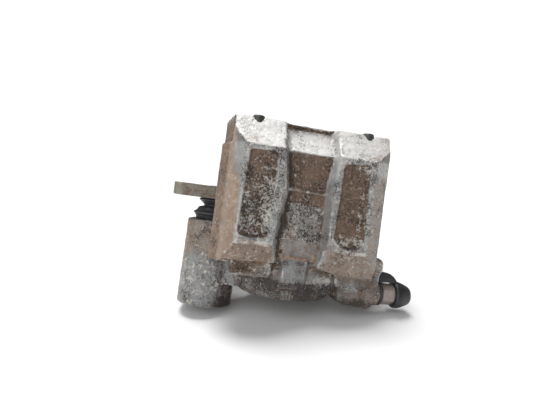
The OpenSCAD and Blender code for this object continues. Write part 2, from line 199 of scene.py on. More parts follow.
def boolean(piece, operation, *tools):
    """Combines the piece with each closed tool in turn, and deletes the tool."""
    for tool in tools:
        modify(piece, "BOOLEAN", operation=operation, solver="MANIFOLD", object=tool)
        delete(tool)


def fillet(points, radius=0, steps=4, closed=True):
    """A 2D outline with its corners rounded. A point may carry its own radius as a third number."""
    count = len(points)
    result = []
    for i, point in enumerate(points):
        here = np.array(point[:2], float)
        size = point[2] if len(point) > 2 else radius
        if size <= 0 or (not closed and i in (0, count - 1)):
            result.append(tuple(here))
            continue
        before = np.array(points[i - 1][:2], float) - here
        after = np.array(points[(i + 1) % count][:2], float) - here
        size_b, size_a = np.linalg.norm(before), np.linalg.norm(after)
        before, after = before / size_b, after / size_a
        half = math.acos(max(-1, min(1, float(before @ after)))) / 2
        if half > math.radians(88):
            result.append(tuple(here))
            continue
        reach = min(size / math.tan(half), 0.48 * size_b, 0.48 * size_a)
        start, end = here + before * reach, here + after * reach
        for k in range(steps + 1):
            t = k / steps
            curve = (1 - t) ** 2 * start + 2 * t * (1 - t) * here + t * t * end
            result.append(tuple(curve))
    return result


def axes(direction):
    """Two directions square to the named axis, and the axis itself."""
    first = "XYZ".index(direction)
    return [np.eye(3)[(first + k) % 3] for k in (1, 2, 3)]


def lathe(name, profile, at, axis="Z", steps=96):
    """Turns a closed profile of (radius, height) about an axis through at."""
    u, v, w = axes(axis)
    centre = np.array(at, float)
    points, faces = [], []
    count = len(profile)
    for k in range(steps):
        angle = 2 * math.pi * k / steps
        out = u * math.cos(angle) + v * math.sin(angle)
        points += [centre + out * r + w * h for r, h in profile]
    for k in range(steps):
        here, there = k * count, (k + 1) % steps * count
        for i in range(count):
            j = (i + 1) % count
            if profile[i][0] < 1e-9 and profile[j][0] < 1e-9:
                continue
            quad = [here + i, here + j, there + j, there + i]
            if profile[i][0] < 1e-9:
                quad = [here + i, here + j, there + j]
            elif profile[j][0] < 1e-9:
                quad = [here + i, here + j, there + i]
            faces.append(quad)
    return from_faces(name, points, faces)


def plug(profile, at, axis="Z", steps=96):
    """A closed tool: the profile, turned, with a flat disc at each of its ends."""
    return lathe("tool", [(0, profile[0][1]), *profile, (0, profile[-1][1])], at, axis, steps)


def rod(radius, start, end, at, axis="Z", steps=72):
    """A plain cylinder as a tool, from start to end along the axis."""
    return plug([(radius, start), (radius, end)], at, axis, steps)


def hexagon(centre, radius, turn):
    """Corners of a regular hexagon, the first at that many degrees."""
    angles = [math.radians(60 * k + turn) for k in range(6)]
    return [(centre[0] + radius * math.cos(a), centre[1] + radius * math.sin(a)) for a in angles]


def prism(name, outline, start, end, axis="Z"):
    """An outline, drawn square to the axis, extruded from start to end."""
    u, v, w = axes(axis)
    count = len(outline)
    points = [u * a + v * b + w * h for h in (start, end) for a, b in outline]
    faces = [[i, (i + 1) % count, count + (i + 1) % count, count + i] for i in range(count)]
    faces += [list(range(count)), list(range(2 * count - 1, count - 1, -1))]
    return from_faces(name, points, faces)


def tube(name, path, radius, sides=10):
    """A closed round tube along points in millimetres."""
    path = [np.array(p, float) for p in path]
    points, faces = [], []
    side = None
    for i, point in enumerate(path):
        ahead = path[min(i + 1, len(path) - 1)] - path[max(i - 1, 0)]
        ahead = ahead / np.linalg.norm(ahead)
        if side is None:
            side = np.cross(ahead, (0, 0, 1) if abs(ahead[2]) < 0.9 else (0, 1, 0))
        side = side - ahead * (side @ ahead)
        side = side / np.linalg.norm(side)
        other = np.cross(ahead, side)
        for k in range(sides):
            angle = 2 * math.pi * k / sides
            points.append(point + (side * math.cos(angle) + other * math.sin(angle)) * radius)
    for i in range(len(path) - 1):
        for k in range(sides):
            j = (k + 1) % sides
            faces.append([i * sides + k, i * sides + j, (i + 1) * sides + j, (i + 1) * sides + k])
    faces.append(list(range(sides)))
    faces.append([(len(path) - 1) * sides + k for k in range(sides)])
    return from_faces(name, points, faces)


def vertices(piece):
    """Positions in millimetres and unit normals, as arrays."""
    count = len(piece.data.vertices)
    points = np.empty(count * 3)
    piece.data.vertices.foreach_get("co", points)
    normals = np.empty(count * 3)
    piece.data.vertex_normals.foreach_get("vector", normals)
    return points.reshape(-1, 3) / MM, normals.reshape(-1, 3)


def move_vertices(piece, points):
    piece.data.vertices.foreach_set("co", (points * MM).ravel())
    piece.data.update()


def neighbour_mean(piece, values, rounds):
    """Averages values over each vertex's neighbours, several times over."""
    edges = np.empty(len(piece.data.edges) * 2, int)
    piece.data.edges.foreach_get("vertices", edges)
    a, b = edges.reshape(-1, 2).T
    count = len(piece.data.vertices)
    share = np.bincount(a, minlength=count) + np.bincount(b, minlength=count)
    share = np.maximum(share, 1)
    for _ in range(rounds):
        values = np.stack([(np.bincount(a, c[b], count) + np.bincount(b, c[a], count)) / share
                           for c in values.T], axis=1)
    return values


def sharpness(piece, rounds=6, scale=0.35):
    """+1 on the piece's outer edges, -1 in its inner corners, 0 on the flat."""
    points, normals = vertices(piece)
    around = neighbour_mean(piece, points, rounds)
    return np.clip(((points - around) * normals).sum(1) / scale, -1, 1)


def lattice_noise(points, size, seed):
    """Smooth value noise from -1 to 1 with features of that size in millimetres."""
    grid = np.random.default_rng(seed).random((32, 32, 32)) * 2 - 1
    scaled = points / size
    cell = np.floor(scaled).astype(int)
    t = scaled - cell
    t = t * t * (3 - 2 * t)
    total = 0
    for corner in range(8):
        step = np.array([corner & 1, corner >> 1 & 1, corner >> 2 & 1])
        i, j, k = ((cell + step) % 32).T
        total = total + grid[i, j, k] * np.where(step, t, 1 - t).prod(1)
    return total


def grain(points, size, seed, octaves=3):
    """Several octaves of lattice noise, about -1 to 1."""
    return sum(lattice_noise(points, size / 2 ** k, seed + k) / 2 ** k for k in range(octaves)) / 1.2


def store(piece, **fields):
    """Writes one number per vertex for the materials to read."""
    for name, values in fields.items():
        attribute = piece.data.attributes.new(name, "FLOAT", "POINT")
        attribute.data.foreach_set("value", np.clip(values, 0, 1).astype(np.float32))


def ramp(start, end, value):
    """Smooth step: 0 at start, 1 at end, either way round."""
    t = np.clip((value - start) / (end - start), 0, 1)
    return t * t * (3 - 2 * t)


def between(value, first, last, soft=1.0):
    """1 inside a range and 0 outside it, with soft ends."""
    return ramp(first - soft, first + soft, value) * ramp(last + soft, last - soft, value)


def spot(x, z, at, size):
    """A soft round patch on a face seen from the front."""
    return np.exp(-((x - at[0]) / size[0]) ** 2 - ((z - at[1]) / size[1]) ** 2)


# ------------ material tools


def colour(*display):
    """Linear colour from its display values of 0 to 255."""
    shares = [v / 255 for v in display]
    return (*[v / 12.92 if v <= 0.04045 else ((v + 0.055) / 1.055) ** 2.4 for v in shares], 1)


class Surface:
    """One procedural material. Its methods add a node and return the socket that it makes."""

    def __init__(self, name):
        self.material = bpy.data.materials.new(name)
        self.material.use_nodes = True
        self.tree = self.material.node_tree
        self.shader = self.tree.nodes["Principled BSDF"]
        position = self.add("TexCoord", {}).outputs["Object"]
        self.place = self.add("VectorMath", {0: position, "Scale": 1 / MM}, operation="SCALE").outputs[0]

    def feed(self, node, inputs):
        """Sets a node's inputs to numbers, colours or other nodes' sockets."""
        for name, value in inputs.items():
            if isinstance(value, bpy.types.NodeSocket):
                self.tree.links.new(value, node.inputs[name])
            else:
                node.inputs[name].default_value = value

    def add(self, kind, inputs, **settings):
        node = self.tree.nodes.new("ShaderNode" + kind)
        for name, value in settings.items():
            setattr(node, name, value)
        self.feed(node, inputs)
        return node

    def math(self, operation, a, b):
        return self.add("Math", {0: a, 1: b}, operation=operation).outputs[0]

    def plus(self, a, b):
        return self.math("ADD", a, b)

    def minus(self, a, b):
        return self.math("SUBTRACT", a, b)

    def times(self, a, b):
        return self.math("MULTIPLY", a, b)

    def larger(self, a, b):
        return self.math("MAXIMUM", a, b)

    def stretched(self, factors):
        """The place, drawn out by a factor along each axis."""
        return self.add("VectorMath", {0: self.place, 1: factors}, operation="MULTIPLY").outputs[0]

    def noise(self, size, detail=4.0, roughness=0.6, distortion=0.0, place=None):
        """Noise with features of that size in millimetres."""
        inputs = {"Vector": place or self.place, "Scale": 1 / size, "Detail": detail, "Roughness": roughness,
                  "Distortion": distortion}
        return self.add("TexNoise", inputs).outputs["Fac"]

    def cells(self, size):
        """Distance to the nearest of many scattered points, that size apart in millimetres."""
        return self.add("TexVoronoi", {"Vector": self.place, "Scale": 1 / size}).outputs["Distance"]

    def field(self, name):
        return self.add("Attribute", {}, attribute_name=name).outputs["Fac"]

    def ramp(self, value, start, end):
        """0 at start and 1 at end. Start and end may be sockets."""
        inputs = {"Value": value, "From Min": start, "From Max": end}
        return self.add("MapRange", inputs, interpolation_type="SMOOTHSTEP").outputs["Result"]

    def blend(self, amount, a, b):
        """Colour b over colour a."""
        return self.add("Mix", {"Factor": amount, 6: a, 7: b}, data_type="RGBA").outputs[2]

    def between(self, amount, a, b):
        """Number b over number a."""
        return self.add("Mix", {"Factor": amount, 2: a, 3: b}, data_type="FLOAT").outputs[0]

    def bump(self, height, depth):
        """A bump of that depth in millimetres."""
        inputs = {"Strength": 1, "Distance": depth * MM, "Height": height}
        return self.add("Bump", inputs).outputs["Normal"]

    def finish(self, base, roughness, normal=None, metallic=0.0, specular=0.5):
        self.feed(self.shader, {"Base Color": base, "Roughness": roughness, "Metallic": metallic,
                                "Specular IOR Level": specular})
        if normal:
            self.feed(self.shader, {"Normal": normal})
        return self.material

# ------------ materials


def cast_aluminium():
    """Old cast aluminium: grey metal under brown soil, tan film, white corrosion and small dark pits.
    The piece's fields say how much of each lies where: soil, tan, crust (white), speck (dark), wash
    (pale clean metal, and painted light on faces that look up) and edge (rubbed bright, and painted
    highlights)."""
    s = Surface("cast_aluminium")
    names = ("soil", "tan", "crust", "speck", "wash", "edge")
    soil, tan, crust, speck, wash, edge = (s.field(name) for name in names)
    broad = s.noise(8, detail=3)
    cloud = s.noise(2.6, detail=5, roughness=0.65, distortion=0.5)
    crumb = s.noise(1.3, detail=6, roughness=0.72, distortion=0.6)
    grit = s.noise(0.75, detail=5, roughness=0.7)
    fine = s.noise(0.3, detail=3, roughness=0.7)

    def cover(pattern, amount, soft=0.035):
        """1 on that share of the surface, in the pattern's own patches."""
        level = s.minus(0.68, s.times(amount, 0.36))
        return s.ramp(pattern, s.minus(level, soft), s.plus(level, soft))

    metal = s.blend(s.ramp(broad, 0.35, 0.66), colour(116, 118, 119), colour(146, 148, 149))
    metal = s.blend(s.times(s.ramp(cloud, 0.42, 0.7), 0.55), metal, colour(108, 104, 99))
    # wash paints near-white metal: pale clean metal, and painted light on faces that look up
    metal = s.blend(wash, metal, colour(236, 234, 230))
    film = s.blend(s.ramp(cloud, 0.34, 0.66), colour(140, 112, 92), colour(170, 148, 126))
    film_level = s.plus(tan, s.times(s.minus(cloud, 0.5), 1.6))
    film_on = s.times(s.ramp(film_level, 0.12, 0.88), 0.9)
    base = s.blend(film_on, metal, film)

    brown = s.blend(s.ramp(crumb, 0.38, 0.62), colour(80, 65, 55), colour(124, 104, 88))
    brown = s.blend(s.times(s.ramp(broad, 0.48, 0.66), 0.6), brown, colour(116, 93, 77))
    soil_on = s.ramp(s.plus(soil, s.times(s.minus(crumb, 0.5), 1.3)), 0.25, 0.75)
    base = s.blend(soil_on, base, brown)

    pale = s.blend(s.ramp(fine, 0.35, 0.65), colour(152, 146, 137), colour(216, 213, 207))
    # wash also whitens the crust, which on faces that look up is painted light
    pale = s.blend(s.times(wash, 0.8), pale, colour(246, 245, 243))
    patchy = s.times(s.minus(cloud, 0.5), 0.55)
    flake_on = s.times(cover(s.plus(grit, patchy), s.times(crust, 0.8)), 0.75)
    crust_on = s.larger(cover(s.plus(crumb, patchy), crust), flake_on)
    crust_on = s.times(crust_on, s.times(s.ramp(crust, 0.0, 0.12), 0.85))
    base = s.blend(crust_on, base, pale)

    # pits lie where the grit is lowest, in broad patches
    sunk = s.minus(1.0, grit)
    sunk = s.minus(sunk, s.times(s.minus(broad, 0.5), 0.5))
    pit_on = s.times(cover(sunk, speck), s.ramp(speck, 0.0, 0.12))
    base = s.blend(s.times(pit_on, 0.82), base, colour(48, 41, 37))
    # rubbed bright edges, with painted highlights along them
    rubbed_and_highlit = s.times(s.ramp(s.plus(edge, s.times(grit, 0.5)), 0.6, 0.95), 0.7)
    base = s.blend(rubbed_and_highlit, base, colour(206, 204, 199))

    roughness = s.between(soil_on, 0.45, 0.9)
    roughness = s.between(crust_on, roughness, 0.8)
    height = s.plus(s.times(crust_on, 0.6), s.times(fine, 0.4))
    height = s.plus(height, s.times(crumb, 0.6))
    height = s.minus(height, s.times(pit_on, 0.7))
    bare = s.minus(1.0, s.larger(soil_on, s.larger(crust_on, film_on)))
    return s.finish(base, roughness, s.bump(height, 0.26), metallic=s.times(bare, 0.5))


def rusty_steel(name, scale, rust, base):
    """Plain steel with a brown film and raised scale."""
    s = Surface(name)
    cloud = s.noise(4.0 * scale, detail=5, roughness=0.65, distortion=0.4)
    crumb = s.noise(1.0 * scale, detail=5, roughness=0.7, distortion=0.8)
    fine = s.noise(0.35 * scale, detail=3)
    dull = colour(*[c * 0.85 for c in base])
    bright = colour(*[min(255, c * 1.15) for c in base])
    steel = s.blend(cloud, dull, bright)
    level = 0.72 - 0.42 * rust
    rust_on = s.ramp(s.plus(s.times(cloud, 0.6), s.times(crumb, 0.4)), level, level + 0.16)
    brown = s.blend(s.ramp(crumb, 0.3, 0.7), colour(88, 72, 60), colour(138, 118, 100))
    shade = s.blend(rust_on, steel, brown)
    dark = s.ramp(s.plus(s.times(fine, 0.5), s.times(crumb, 0.5)), 0.54, 0.62)
    shade = s.blend(s.times(dark, 0.6), shade, colour(58, 49, 43))
    low_spots = s.times(s.minus(1.0, crumb), 0.6)
    pale = s.ramp(s.plus(s.times(fine, 0.4), low_spots), 0.55, 0.64)
    shade = s.blend(s.times(pale, 0.5), shade, colour(182, 176, 168))
    height = s.plus(s.times(crumb, 0.7), s.times(fine, 0.3))
    roughness = s.between(rust_on, 0.45, 0.85)
    metallic = s.times(s.minus(1.0, rust_on), 0.5)
    return s.finish(shade, roughness, s.bump(height, 0.16 * scale), metallic)


def rubber(name, grey, dust, gloss):
    """Black moulded rubber with a little dust on it."""
    s = Surface(name)
    cloud = s.noise(2.5, detail=4, roughness=0.65)
    fine = s.noise(0.3, detail=3)
    dark = colour(grey, grey, grey + 3)
    dusty = colour(grey + 52, grey + 48, grey + 46)
    amount = s.times(s.ramp(cloud, 0.48, 0.78), dust)
    base = s.blend(amount, dark, dusty)
    base = s.blend(s.times(s.ramp(fine, 0.6, 0.75), 0.25 * dust), base, colour(150, 146, 140))
    roughness = s.between(amount, gloss, 0.85)
    return s.finish(base, roughness, s.bump(fine, 0.03))


def machined(name, base, roughness, metallic, lines):
    """Turned or ground metal: fine lines across the axis and a few dull stains."""
    s = Surface(name)
    along = s.noise(1.2, detail=3, place=s.stretched(lines))
    cloud = s.noise(3.0, detail=4)
    bright = colour(*[min(255, c * 1.08) for c in base])
    dull = colour(*[c * 0.82 for c in base])
    shade = s.blend(s.ramp(cloud, 0.35, 0.7), bright, dull)
    shade = s.blend(s.times(s.ramp(cloud, 0.62, 0.8), 0.5), shade, colour(120, 102, 84))
    rough = s.between(s.ramp(cloud, 0.4, 0.75), roughness, roughness + 0.25)
    return s.finish(shade, rough, s.bump(along, 0.015), metallic)


def friction_lining():
    """Moulded friction material: grey-brown, with pale fibres and brass-coloured flecks."""
    s = Surface("friction_lining")
    cloud = s.noise(2.0, detail=5, roughness=0.7)
    fleck = s.cells(0.55)
    long_way = s.noise(0.9, detail=4, place=s.stretched((1, 3.5, 1)))
    base = s.blend(s.ramp(cloud, 0.3, 0.7), colour(70, 64, 60), colour(112, 104, 98))
    base = s.blend(s.times(s.ramp(fleck, 0.16, 0.09), 0.8), base, colour(170, 136, 84))
    base = s.blend(s.times(s.ramp(long_way, 0.62, 0.7), 0.6), base, colour(158, 152, 146))
    height = s.plus(cloud, s.times(long_way, 0.6))
    return s.finish(base, 0.88, s.bump(height, 0.12))


MATERIALS = {
    "cast": cast_aluminium(),
    "plate": rusty_steel("rusty_plate", 1.0, 0.62, (138, 132, 122)),
    "backing": rusty_steel("pad_backing", 0.8, 0.35, (74, 70, 68)),
    "pin": rusty_steel("stained_pin", 0.5, 0.15, (150, 146, 140)),
    "pad_pin": rusty_steel("dirty_pad_pin", 0.5, 0.3, (70, 72, 68)),
    "hexagon": rusty_steel("bleeder_steel", 0.5, 0.42, (152, 141, 137)),
    "shim": machined("galvanised_shim", (168, 168, 166), 0.42, 0.85, (1, 6, 1)),
    "clip": machined("spring_steel", (170, 168, 164), 0.36, 0.9, (8, 1, 1)),
    "piston": machined("ground_piston", (176, 174, 172), 0.22, 1.0, (1, 1, 26)),
    "lining": friction_lining(),
    "boot": rubber("boot_rubber", 50, 0.55, 0.45),
    "seal": rubber("seal_rubber", 30, 0.1, 0.4),
    "cap": rubber("cap_rubber", 33, 0.3, 0.42),
    "ring": rusty_steel("soiled_ring", 0.6, 0.35, (66, 56, 56)),
}


def dress(piece, material, body, node, sharp=30):
    """Shades a finished piece smooth up to the sharp angle, gives it its material and body, and hides
    the CAD node that it stands for."""
    piece.data.shade_smooth()
    piece.data.set_sharp_from_angle(angle=math.radians(sharp))
    piece.data.materials.clear()
    piece.data.materials.append(MATERIALS[material])
    if body:
        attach(piece, body)
    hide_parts(node)


# ------------ the casting


def cylinder_plugs():
    """Solids that fill every machined hole, so that the rough casting has none."""
    return [
        rod(20, BORE_END - 1, BORE_MOUTH, (0, 0, 0)),
        *[rod(6.9, PIN_BORE_END[side] - 1, -20.2, at) for side, at in PIN_AT.items()],
        rod(4.6, 25, SEAT_X, BLEEDER_AT, "X"),
        rod(5.2, 17, HOSE_PORT_FACE, HOSE_PORT_AT, "Y"),
        rod(3.4, PAD_PIN_HOLE_END - 2, BORE_MOUTH, (PAD_PIN_X["right"], PAD_PIN_Y, 0)),
        rod(3.4, -36, BORE_MOUTH, (PAD_PIN_X["left"], PAD_PIN_Y, 0)),
    ]


def bore_profile():
    """The cylinder's bore with both seal grooves and a chamfered mouth."""
    rim = BORE_R + 0.8
    profile = [(BORE_R, BORE_END)]
    for start, end, radius in (SEAL_GROOVE, DUST_GROOVE):
        profile += [(BORE_R, start), (radius, start), (radius, end), (BORE_R, end)]
    return profile + [(BORE_R, BORE_MOUTH - 0.6), (rim, BORE_MOUTH + 0.2), (rim, BORE_MOUTH + 1)]


def pad_pin_holes():
    """Holes for the pad pins and their heads, with room round the pads' ears and for the pips."""
    holes = []
    for x in PAD_PIN_X.values():
        at = (x, PAD_PIN_Y, 0)
        profile = [(PAD_PIN_R, PAD_PIN_HOLE_END), (PAD_PIN_R, PAD_PIN_HEAD_Z),
                   (PAD_PIN_HEAD_R, PAD_PIN_HEAD_Z), (PAD_PIN_HEAD_R, 40)]
        holes += [plug(profile, at), rod(4, BORE_MOUTH, CLAW_FACE, at),
                  rod(PIP_HOLE_R, 5, 16.5, (math.copysign(PIP_X, x), PIP_Y, 0), "Z", 48)]
    return holes


def machined_holes():
    """The holes as clean cutters, with their chamfers."""
    left_end, right_end = PIN_BORE_END.values()
    chamfered = PIN_BORE_R + 0.6
    return [
        plug(bore_profile(), (0, 0, 0), "Z", 128),
        plug([(PIN_BORE_R, left_end), (PIN_BORE_R, -20.6), (chamfered, -20), (chamfered, -19)],
             PIN_AT["left"]),
        plug([(PIN_BORE_R, right_end), (PIN_BORE_R, BUSH_END), (BUSH_R, BUSH_END), (BUSH_R, -19)],
             PIN_AT["right"]),
        plug([(1.5, THREAD_X - 2.4), (THREAD_R, THREAD_X), (THREAD_R, SEAT_X - 0.4), (4, SEAT_X + 0.4),
              (4, SEAT_X + 2)], BLEEDER_AT, "X"),
        plug([(HOSE_PORT_R, HOSE_PORT_FLOOR), (HOSE_PORT_R, 30.4), (5.1, 31.2), (5.1, 33)], HOSE_PORT_AT,
             "Y"),
        rod(1.4, 14, 22, (0, 0, -46.6), "Y", 24),
    ] + pad_pin_holes()


def casting_details():
    """Raised lips and lines that the rough casting carries. They melt into it."""
    lips = []
    line = [(x, -26.3, -3.1 - 0.045 * (x + 10) + 0.25 * math.sin(x * 0.9)) for x in range(-10, 11, 2)]
    lips.append(tube("lip", line, 0.6))
    for side in (-1, 1):
        rim = []
        for k in range(13):
            t = k / 12
            x = side * (15.2 + 13.6 * t)
            rim.append((x, RIB_FACE - 0.1, -25.9 - 1.5 * math.sin(math.pi * min(1, t * 1.15))))
        lips.append(tube("lip", rim, 0.75))
    back = [(x, -18.5, CLAW_TOP - 1.0) for x in range(-12, 13, 2)]
    lips.append(tube("lip", back, 0.8))
    return lips


class StainsAndPaintedLight:
    """What lies on the casting, as shares of the surface from 0 to 1, one number per vertex: soil, tan
    film, white crust, dark specks and washed metal. On faces that look up the washed metal is also painted
    light, and in a few places soil and specks are painted shade."""

    def __init__(self, piece):
        self.points, self.normals = vertices(piece)
        self.x, self.y, self.z = self.points.T
        self.depth = self.y - RIB_FACE
        self.edge = sharpness(piece)
        self.hollow = np.clip(-self.edge, 0, 1)
        self.front = ramp(0.15, 0.55, -self.normals[:, 1])
        self.large, self.medium = grain(self.points, 14, 3), grain(self.points, 4.5, 11)
        # borders that follow these two wander by a millimetre or so, as stains do
        self.xs = self.x + 1.1 * grain(self.points, 5, 7)
        self.zs = self.z + 1.1 * grain(self.points, 5, 17)
        self.fields = {"soil": 0.38 + 0.2 * self.large, "tan": 0.32 + 0.25 * self.medium,
                       "crust": 0.3 + 0.15 * self.medium, "speck": 0.22 + 0.1 * self.large,
                       "wash": 0 * self.x}

    def paint(self, mask, **values):
        """Moves the named fields to these values where the mask is 1."""
        for name, value in values.items():
            self.fields[name] = self.fields[name] + (value - self.fields[name]) * mask


def top_stains_and_painted_light(c):
    """Sloping top faces and the claw's outer face, painted pale as clean metal and as painted light from
    above, with painted shade along the valley's back lip.
    """
    x, y, z, xs, zs, large = c.x, c.y, c.z, c.xs, c.zs, c.large
    facing_up = c.normals[:, 2]
    # faces that look up get near-white wash and crust: clean metal with painted light from above
    top = ramp(0.25, 0.5, facing_up) * ramp(-16, -20, y) * ramp(5, 9, z)
    c.paint(top, soil=0.0, tan=0.0, crust=0.5, speck=0.1, wash=1.0)
    claw = ramp(0.8, 0.95, facing_up) * ramp(CLAW_TOP - 2, CLAW_TOP - 1, z)
    c.paint(claw, soil=0.12 + 0.15 * large, tan=0.2, crust=0.4, speck=0.2, wash=0.6)
    right_rib = top * ramp(12.5, 14, x)
    c.paint(right_rib, soil=0.08, tan=0.1 + 0.4 * ramp(30, 34, xs), crust=0.45, speck=0.14, wash=0.8)
    saddle = top * ramp(12.4, 10.8, abs(x))
    c.paint(saddle, soil=0.02 + 0.1 * large, tan=0.1 + 0.5 * ramp(21, 23, zs), crust=0.5, speck=0.16,
            wash=0.97)
    # painted shade: the strip along the valley's back lip is darkened with soil and dark specks
    shaded_back_edge = ramp(12, 11, abs(x)) * ramp(-17, -17.6, y) * ramp(24.4, 24.9, z)
    c.paint(shaded_back_edge, soil=0.9, speck=0.5, crust=0.1, wash=0)
    c.paint(top * spot(x, z, (-26.5, 16), (2.6, 2.2)), tan=0.8)
    c.paint(top * spot(x, z, (29.5, 15.5), (3.4, 2.0)), tan=0.8)


def stain_ribs(c):
    """The ribs' faces, and the brown pockets in them, speckled dark and white."""
    x, z, xs, zs = c.x, c.z, c.xs, c.zs
    face = c.front * between(abs(x), 11.5, 30.2, 0.6) * between(z, -28.5, 13.6, 0.8)
    c.paint(face, soil=0.3, tan=0.16, crust=0.42, speck=0.3, wash=0.16)
    pocket = c.front * between(c.depth, 0.7, 2.2, 0.3) * between(z, -26.2, 12.3, 0.5)
    crust = 0.16 + 0.2 * ramp(8, -8, zs) + 0.25 * ramp(-21, -16.5, xs) + 0.12 * ramp(-25.5, -28, xs)
    c.paint(pocket * between(x, -29, -15.2, 0.5), soil=0.74, tan=0.3, wash=0.2, speck=0.36, crust=crust)
    crust = 0.1 + 0.3 * ramp(22, 27, xs) + 0.25 * ramp(7, 11, zs) + 0.35 * ramp(-19, -25, z)
    c.paint(pocket * between(x, 13.6, 28.4, 0.5), soil=0.82, tan=0.45, wash=0.1,
            speck=0.2 + 0.1 * ramp(-8, -18, zs), crust=crust)


def stain_valley(c):
    """The valley, from the top down: brown, a raised line, a rough speckled band and a grey slant."""
    x, z, xs, zs, front, depth = c.x, c.z, c.xs, c.zs, c.front, c.depth
    floor = front * ramp(13.4, 12.2, abs(x)) * ramp(2.4, 3.6, depth)
    brown = floor * ramp(-10.5, -8.5, zs) * ramp(14, 12, z)
    c.paint(brown, soil=0.74 + 0.1 * c.large, tan=0.5, crust=0.12 + 0.16 * ramp(4, -4, zs), speck=0.24,
            wash=0)
    rough = floor * between(zs, -25.4, -9.8, 0.7)
    c.paint(rough, soil=0.42, tan=0.3 + 0.5 * ramp(-18, -25, zs) * ramp(2, -6, xs), wash=0.1,
            crust=0.34 + 0.2 * ramp(-14, -11, zs) + 0.15 * c.medium, speck=0.42)
    line = floor * between(z + 0.045 * x, -3.95, -3.55, 0.2) * between(x, -10.5, 10.5, 0.5)
    c.paint(line, soil=0.3, crust=0.5, speck=0.1, wash=0.1)
    slant = front * ramp(14, 12.5, abs(x)) * between(z, -34.5, -25.6, 0.5)
    c.paint(slant, soil=0.4, tan=0.4 + 0.5 * ramp(-32, -34.2, zs), crust=0.12, speck=0.08, wash=0)
    flank = front * ramp(0.6, 1.2, depth) * ramp(3.8, 3.2, depth)
    flank = flank * between(abs(x), 7.5, 13.6, 0.6) * between(z, -35, 24, 1)
    c.paint(flank, soil=0.26, tan=0.08, crust=0.12, speck=0.12, wash=0.1)


def stain_sides(c):
    """Side chamfers, bluish at the top and tan further down, and the side faces, all tan."""
    x, y, z, zs = c.x, c.y, c.z, c.zs
    left = ramp(-30, -30.8, x) * ramp(-20, -22, y) * between(z, -36, 14, 1)
    c.paint(left, soil=0.16 + 0.2 * ramp(-5, -25, zs), tan=0.12 + 0.8 * ramp(9, -3, zs + 1.6 * (x + 33)),
            crust=0.16, speck=0.06, wash=0.18)
    right = ramp(29.6, 30.6, x) * ramp(-20, -22, y) * between(z, -38, 14, 1)
    c.paint(right, soil=0.22, tan=0.55, crust=0.34, speck=0.22, wash=0.15)
    c.paint(right * ramp(5, 10, zs), soil=0.1, tan=0.3, crust=0.45, speck=0.15, wash=0.55)
    facing_left = ramp(-0.85, -0.97, c.normals[:, 0])
    side = ramp(-34.4, -35.1, x) * ramp(-26.6, -25.6, y) * facing_left * between(z, -40, 24, 1)
    c.paint(side, soil=0.7, tan=0.8, crust=0.12, speck=0.18, wash=0)
    cheek = ramp(-35.5, -36.3, x) * ramp(-11, -14, y) * between(z, -40, 18, 1)
    c.paint(cheek, soil=0.55, tan=0.85, crust=0.14, speck=0.16, wash=0)


def stain_lower_end(c):
    """Chamfers under the ribs, the recess under the left one, the cylinder and the bleeder's boss."""
    x, y, z, xs, zs, front = c.x, c.y, c.z, c.xs, c.zs, c.front
    lower = ramp(-0.12, -0.4, c.normals[:, 2]) * ramp(-20, -22, y) * between(z, -41, -26.5, 0.8)
    lower = lower * ramp(11, 13, abs(x))
    c.paint(lower, soil=0.5, tan=0.75, crust=0.2 + 0.35 * ramp(-28.6, -27.2, z), speck=0.14, wash=0)
    c.paint(lower * ramp(0, 1, x), soil=0.4, tan=0.6, crust=0.26)
    recess = front * between(x, -30, -16, 1) * between(z, -43, -35.5, 0.7) * ramp(-24.5, -23.5, y)
    c.paint(recess, soil=0.8, tan=0.6, crust=0.3, speck=0.25)
    flat = front * between(x, -7.4, 5.2, 0.6) * between(z, -45, -35, 0.8)
    c.paint(flat, soil=0.32, tan=0.12, crust=0.18, speck=0.2, wash=0)
    belly = ramp(-43.5, -46, z) * ramp(24, 20, abs(x))
    c.paint(belly, soil=0.5, tan=0.1, crust=0.2 + 0.12 * c.medium, speck=0.55)
    block = ramp(20, 22, x) * ramp(-39, -41, z) * ramp(-4, -6, y)
    c.paint(block, soil=0.54, tan=0.1, crust=0.03 + 0.05 * c.medium, speck=0.2 + 0.4 * ramp(-48.5, -52, z),
            wash=0)
    c.paint(front * spot(xs, zs, (27, -44.5), (3.2, 2.2)), crust=0.55, soil=0.3)


def long_boss_stains_and_painted_shade(c):
    """The long boss on the left: brownish at its mouth, paler below, darkened where it faces the cylinder as
    painted shade on real soil.
    """
    z, xs, zs = c.z, c.xs, c.zs
    boss = ramp(-24.5, -26, c.x) * ramp(-23, -24.5, z) * np.where(c.y > -14, 1, ramp(-42, -44, z))
    crust = 0.18 + 0.2 * ramp(-34, -42, zs) - 0.2 * ramp(-54, -62, zs) + 0.1 * c.large
    tan = 0.5 * ramp(-46, -34, zs) + 0.25 * ramp(-46, -49, xs)
    c.paint(boss, soil=0.42 - 0.12 * ramp(-34, -44, zs), tan=tan, speck=0.16, crust=crust,
            wash=0.05 * ramp(-34, -44, zs))
    # painted shade on real soil: the side that faces the cylinder gets more soil and dark specks
    c.paint(boss * ramp(0.1, 0.6, c.normals[:, 0]), soil=0.5, tan=0, crust=0.03, speck=0.55, wash=0)


